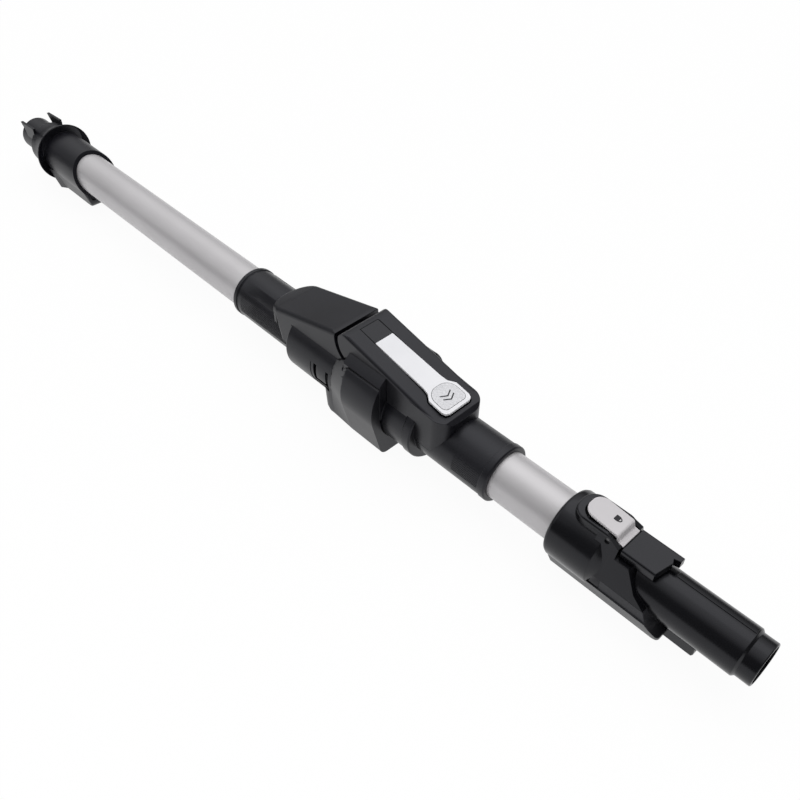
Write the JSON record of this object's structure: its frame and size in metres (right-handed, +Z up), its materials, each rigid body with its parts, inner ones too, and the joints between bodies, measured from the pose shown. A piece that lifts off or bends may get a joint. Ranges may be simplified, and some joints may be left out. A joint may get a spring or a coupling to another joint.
{
  "type": "folding vacuum wand",
  "caption": "Vacuum cleaner wand with satin tubes, a folding elbow released by a long push lever, a pipe for the floor head and a latched spigot for the handle.",
  "frame": {"origin": "centre of the floor-head pipe's mouth, on the tube axis", "axes": "+X along the tube axis to the handle end, +Z up on the lever side"},
  "size_m": [0.752, 0.064, 0.0742],
  "materials": {
    "dark_plastic": "satin",
    "gloss_black": "gloss",
    "grey_plastic": "satin",
    "silver_plastic": "satin metallic paint",
    "tube_aluminium": "satin anodised",
    "hose_rubber": "matte",
    "lead_rubber": "matte",
    "steel": "plain",
    "contact_metal": "plain"
  },
  "bodies": {
    "front_half": {"head_connector": "dark_plastic", "head_keel": "grey_plastic", "head_contacts": "contact_metal", "head_screws": "steel", "front_tube": "tube_aluminium", "front_lead": "lead_rubber", "elbow_front": "dark_plastic", "front_cover": "dark_plastic", "drum": "dark_plastic", "hose_ring": "dark_plastic", "hose": "hose_rubber", "hinge_pin": "steel"},
    "rear_half": {"elbow_rear": "dark_plastic", "lever_housing": "dark_plastic", "hose_collar": "dark_plastic", "lever_pin": "steel", "lever_spring": "steel", "rear_tube": "tube_aluminium", "rear_lead": "lead_rubber", "handle_connector": "gloss_black", "keel_cover": "grey_plastic", "keel_screws": "steel", "contact_plug": "gloss_black", "plug_contacts": "contact_metal", "latch_pin": "steel", "latch_spring": "steel"},
    "push_lever": {"lever_core": "gloss_black", "lever_plate": "silver_plastic"},
    "latch": {"latch_rocker": "gloss_black", "latch_button": "silver_plastic"}
  },
  "joints": [
    {"name": "elbow_fold", "type": "hinge", "parent": "front_half", "child": "rear_half", "pos_m": [0.47, 0, 0.037], "axis": [0, -1, 0], "range_deg": [0, 90], "deforming": ["hose"]},
    {"name": "lever_push", "type": "hinge", "parent": "rear_half", "child": "push_lever", "pos_m": [0.482, 0, 0.036], "axis": [0, 1, 0], "range_deg": [0, 3], "stiffness_Nm_per_rad": 2, "springref_deg": -3.44, "deforming": ["lever_spring"]},
    {"name": "latch_rock", "type": "hinge", "parent": "rear_half", "child": "latch", "pos_m": [0.6605, 0, 0.0213], "axis": [0, -1, 0], "range_deg": [0, 6], "stiffness_Nm_per_rad": 0.6, "springref_deg": -5.73, "deforming": ["latch_spring"]}
  ]
}
